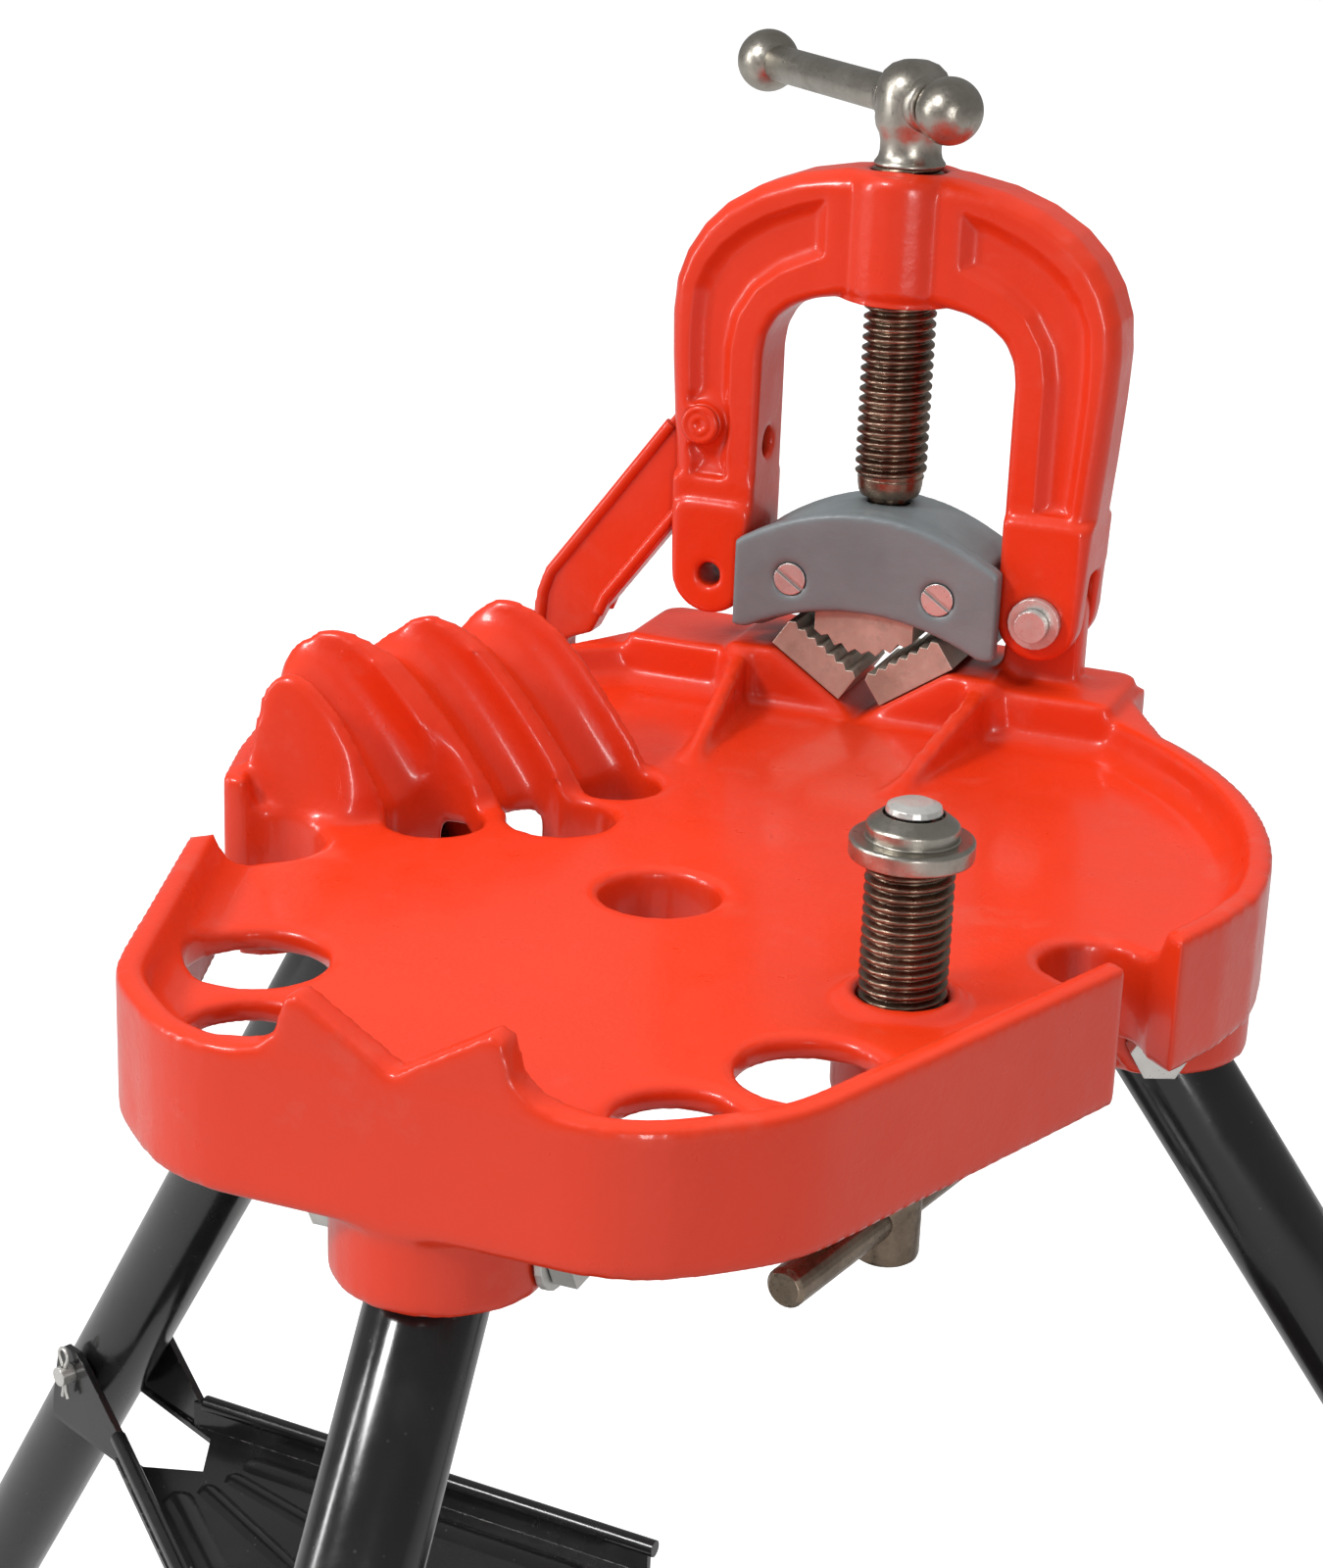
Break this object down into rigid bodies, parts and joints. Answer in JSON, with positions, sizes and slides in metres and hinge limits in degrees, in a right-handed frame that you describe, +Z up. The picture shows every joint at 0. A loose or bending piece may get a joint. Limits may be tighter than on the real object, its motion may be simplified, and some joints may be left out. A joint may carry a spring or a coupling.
{
  "type": "tripod pipe vise stand",
  "caption": "Folding tripod stand with a cast tool tray, hinged yoke pipe vise, bending shoe, brace screw and folding leg tray",
  "frame": {"origin": "on the ground under the middle of the stand's footprint", "axes": "+Z up; the pipe lies along Y and the vise stands at the +Y end; the yoke's hinge is on the +X side"},
  "size_m": [1.0126, 0.8526, 0.8591],
  "materials": {
    "red_enamel": "glossy red enamel over cast iron",
    "grey_paint": "satin grey paint",
    "black_enamel": "gloss black enamel on steel",
    "oiled_steel": "dark oiled machined steel",
    "forged_steel": "bright forged steel",
    "jaw_steel": "hardened jaw steel",
    "zinc": "bright zinc plating",
    "foot_iron": "black cast iron"
  },
  "bodies": {
    "base": {"base_casting": "red_enamel", "lower_jaw_left": "jaw_steel", "lower_jaw_right": "jaw_steel", "hinge_pin": "zinc", "hinge_washer": "zinc", "hinge_cotter": "zinc", "front_leg_bolt": "zinc", "front_leg_washer": "zinc", "front_leg_nut": "zinc", "right_leg_bolt": "zinc", "right_leg_washer": "zinc", "right_leg_nut": "zinc", "left_leg_bolt": "zinc", "left_leg_washer": "zinc", "left_leg_nut": "zinc"},
    "yoke": {"yoke": "red_enamel", "hook_pin": "zinc"},
    "hook": {"hook": "red_enamel"},
    "jaw_carrier": {"jaw_saddle": "grey_paint", "upper_jaw": "jaw_steel", "saddle_screw_left": "zinc", "saddle_screw_right": "zinc"},
    "clamp_screw": {"clamp_screw": "oiled_steel"},
    "handle": {"handle_bar": "forged_steel", "handle_ball_near": "forged_steel", "handle_ball_far": "forged_steel"},
    "brace_cap": {"brace_cap": "forged_steel"},
    "brace_screw": {"brace_screw": "oiled_steel", "brace_rivet": "zinc"},
    "brace_bar": {"brace_bar": "oiled_steel"},
    "tray_plate": {"tray_plate": "black_enamel"},
    "front_leg": {"front_leg": "black_enamel", "front_foot": "foot_iron", "front_tray_pin": "zinc", "front_tray_cotter": "zinc"},
    "front_tray_leaf": {"front_tray_leaf": "black_enamel"},
    "right_leg": {"right_leg": "black_enamel", "right_foot": "foot_iron", "right_tray_pin": "zinc", "right_tray_cotter": "zinc"},
    "right_tray_leaf": {"right_tray_leaf": "black_enamel"},
    "left_leg": {"left_leg": "black_enamel", "left_foot": "foot_iron", "left_tray_pin": "zinc", "left_tray_cotter": "zinc"},
    "left_tray_leaf": {"left_tray_leaf": "black_enamel"}
  },
  "joints": [
    {"name": "yoke_swing", "type": "hinge", "parent": "base", "child": "yoke", "pos_m": [0.0605, 0.33909, 0.67508], "axis": [0, 1, 0], "range_deg": [0, 92]},
    {"name": "hook_swing", "type": "hinge", "parent": "yoke", "child": "hook", "pos_m": [-0.066, 0.33909, 0.72908], "axis": [0, 1, 0], "range_deg": [0, 60]},
    {"name": "jaw_travel", "type": "slide", "parent": "yoke", "child": "jaw_carrier", "axis": [0, 0, 1], "range_m": [0, 0.066]},
    {"name": "screw_turn", "type": "hinge", "parent": "jaw_carrier", "child": "clamp_screw", "pos_m": [0, 0.33909, 0.70708], "axis": [0, 0, 1], "range_deg": [0, 6550]},
    {"name": "handle_slide", "type": "slide", "parent": "clamp_screw", "child": "handle", "axis": [0.7254, -0.6884, 0], "range_m": [0, 0.085]},
    {"name": "brace_travel", "type": "slide", "parent": "base", "child": "brace_cap", "axis": [0, 0, 1], "range_m": [-0.038, 0.008]},
    {"name": "brace_turn", "type": "hinge", "parent": "brace_cap", "child": "brace_screw", "pos_m": [0.091, 0.08759, 0.67208], "axis": [0, 0, 1], "range_deg": [-4314, 912]},
    {"name": "brace_bar_slide", "type": "slide", "parent": "brace_screw", "child": "brace_bar", "axis": [-0.1908, -0.9816, 0], "range_m": [-0.006, 0.006]},
    {"name": "front_leg_fold", "type": "hinge", "parent": "base", "child": "front_leg", "pos_m": [0, -0.01391, 0.59008], "axis": [1, 0, 0], "range_deg": [0, 33.3]},
    {"name": "front_leaf_fold", "type": "hinge", "parent": "front_leg", "child": "front_tray_leaf", "pos_m": [0, -0.19399, 0.31594], "axis": [1, 0, 0], "range_deg": [0, 57]},
    {"name": "right_leg_fold", "type": "hinge", "parent": "base", "child": "right_leg", "pos_m": [0.13096, 0.21216, 0.59008], "axis": [-0.4226, 0.9063, 0], "range_deg": [0, 33.3]},
    {"name": "right_leaf_fold", "type": "hinge", "parent": "right_leg", "child": "right_tray_leaf", "pos_m": [0.29417, 0.28826, 0.31594], "axis": [-0.4226, 0.9063, 0], "range_deg": [0, 57]},
    {"name": "left_leg_fold", "type": "hinge", "parent": "base", "child": "left_leg", "pos_m": [-0.13096, 0.21216, 0.59008], "axis": [-0.4226, -0.9063, 0], "range_deg": [0, 33.3]},
    {"name": "left_leaf_fold", "type": "hinge", "parent": "left_leg", "child": "left_tray_leaf", "pos_m": [-0.29417, 0.28826, 0.31594], "axis": [-0.4226, -0.9063, 0], "range_deg": [0, 57]},
    {"name": "plate_lift", "type": "slide", "parent": "base", "child": "tray_plate", "axis": [0, 0, 1], "range_m": [0, 0.2]}
  ],
  "couplings": [
    {"joint": "hook_swing", "follows": "yoke_swing", "ratio": 0.65},
    {"joint": "screw_turn", "follows": "jaw_travel", "rad_per_m": 1730.9},
    {"joint": "brace_turn", "follows": "brace_travel", "rad_per_m": 1979},
    {"joint": "front_leg_fold", "follows": "right_leg_fold", "ratio": 1},
    {"joint": "front_leaf_fold", "follows": "right_leg_fold", "ratio": 1.7},
    {"joint": "right_leaf_fold", "follows": "right_leg_fold", "ratio": 1.7},
    {"joint": "left_leg_fold", "follows": "right_leg_fold", "ratio": 1},
    {"joint": "left_leaf_fold", "follows": "right_leg_fold", "ratio": 1.7},
    {"joint": "plate_lift", "follows": "right_leg_fold", "m_per_rad": 0.34}
  ]
}
